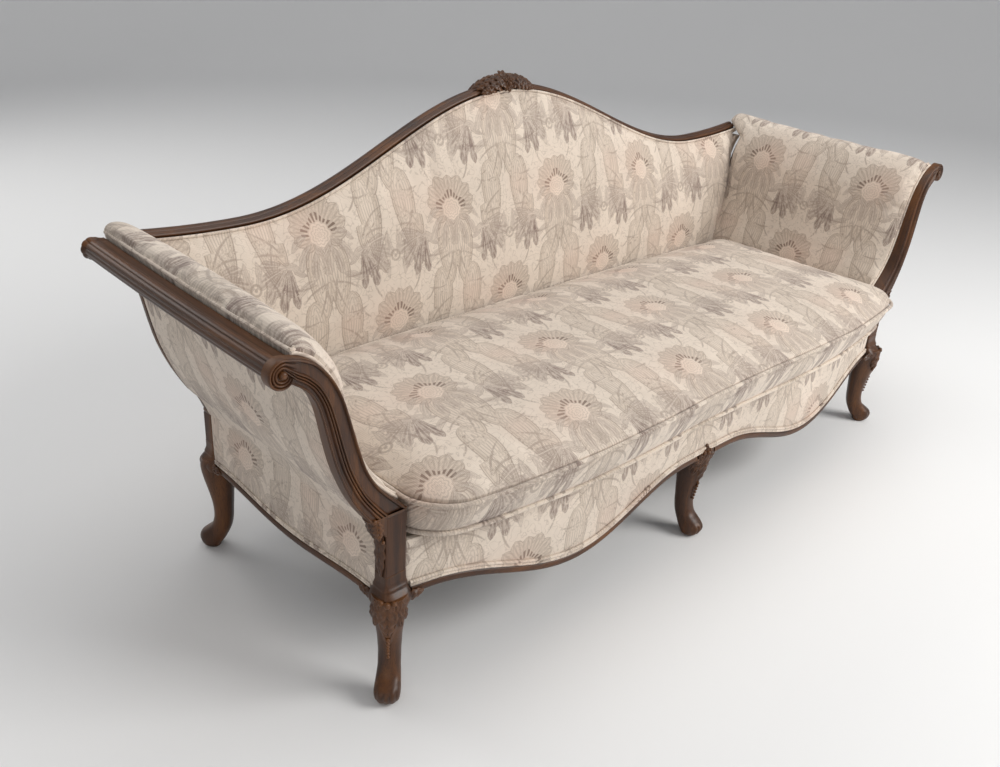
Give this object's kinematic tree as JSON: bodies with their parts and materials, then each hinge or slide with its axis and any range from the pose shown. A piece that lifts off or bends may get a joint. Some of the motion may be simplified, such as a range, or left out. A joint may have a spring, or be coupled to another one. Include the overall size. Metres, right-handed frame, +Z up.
{
  "type": "cabriole sofa",
  "caption": "Sofa with a camel back, flared scroll arms with reeded wooden facings, a serpentine scalloped front, cabriole legs and one long loose seat cushion for sitting.",
  "frame": {"origin": "on the floor, under the middle of the whole part", "axes": "+X runs along the length towards the right arm as seen from the front, +Y to the back and +Z up"},
  "size_m": [2.1016, 0.7916, 0.9101],
  "materials": {
    "walnut_show_wood": "satin dark walnut",
    "frame_beech": "raw beech",
    "damask_fabric": "woven floral damask",
    "deck_cloth": "plain cotton",
    "burlap_cloth": "coarse jute",
    "dust_cloth": "black non-woven cloth",
    "spring_wire": "bare spring wire"
  },
  "bodies": {
    "sofa_frame": {"front_leg_left": "walnut_show_wood", "front_leg_right": "walnut_show_wood", "front_leg_center": "walnut_show_wood", "rear_leg_left": "walnut_show_wood", "rear_leg_right": "walnut_show_wood", "rear_leg_center": "walnut_show_wood", "front_rail": "frame_beech", "rear_rail": "frame_beech", "side_rail_left": "frame_beech", "side_rail_right": "frame_beech", "seat_braces": "frame_beech", "corner_blocks": "frame_beech", "front_bead_left": "walnut_show_wood", "front_bead_right": "walnut_show_wood", "side_bead_left": "walnut_show_wood", "side_bead_right": "walnut_show_wood", "arm_facing_left": "walnut_show_wood", "arm_facing_right": "walnut_show_wood", "arm_capital_left": "walnut_show_wood", "arm_capital_right": "walnut_show_wood", "rear_facing_left": "walnut_show_wood", "rear_facing_right": "walnut_show_wood", "arm_rail_left": "walnut_show_wood", "arm_rail_right": "walnut_show_wood", "arm_slats": "frame_beech", "back_uprights": "frame_beech", "back_tack_rails": "frame_beech", "crest_rail": "walnut_show_wood", "crest_carving": "walnut_show_wood", "seat_springs": "spring_wire", "spring_burlap": "burlap_cloth", "deck_pad": "deck_cloth", "dust_cover": "dust_cloth", "front_cover": "damask_fabric", "inside_back": "damask_fabric", "outside_back": "damask_fabric", "inside_arm_left": "damask_fabric", "inside_arm_right": "damask_fabric", "outside_arm_left": "damask_fabric", "outside_arm_right": "damask_fabric"},
    "cushion": {"seat_cushion": "damask_fabric", "cushion_welts": "damask_fabric"}
  },
  "joints": [
    {"name": "cushion_lift", "type": "slide", "parent": "sofa_frame", "child": "cushion", "axis": [0, 0, 1], "range_m": [0, 0.65]}
  ]
}
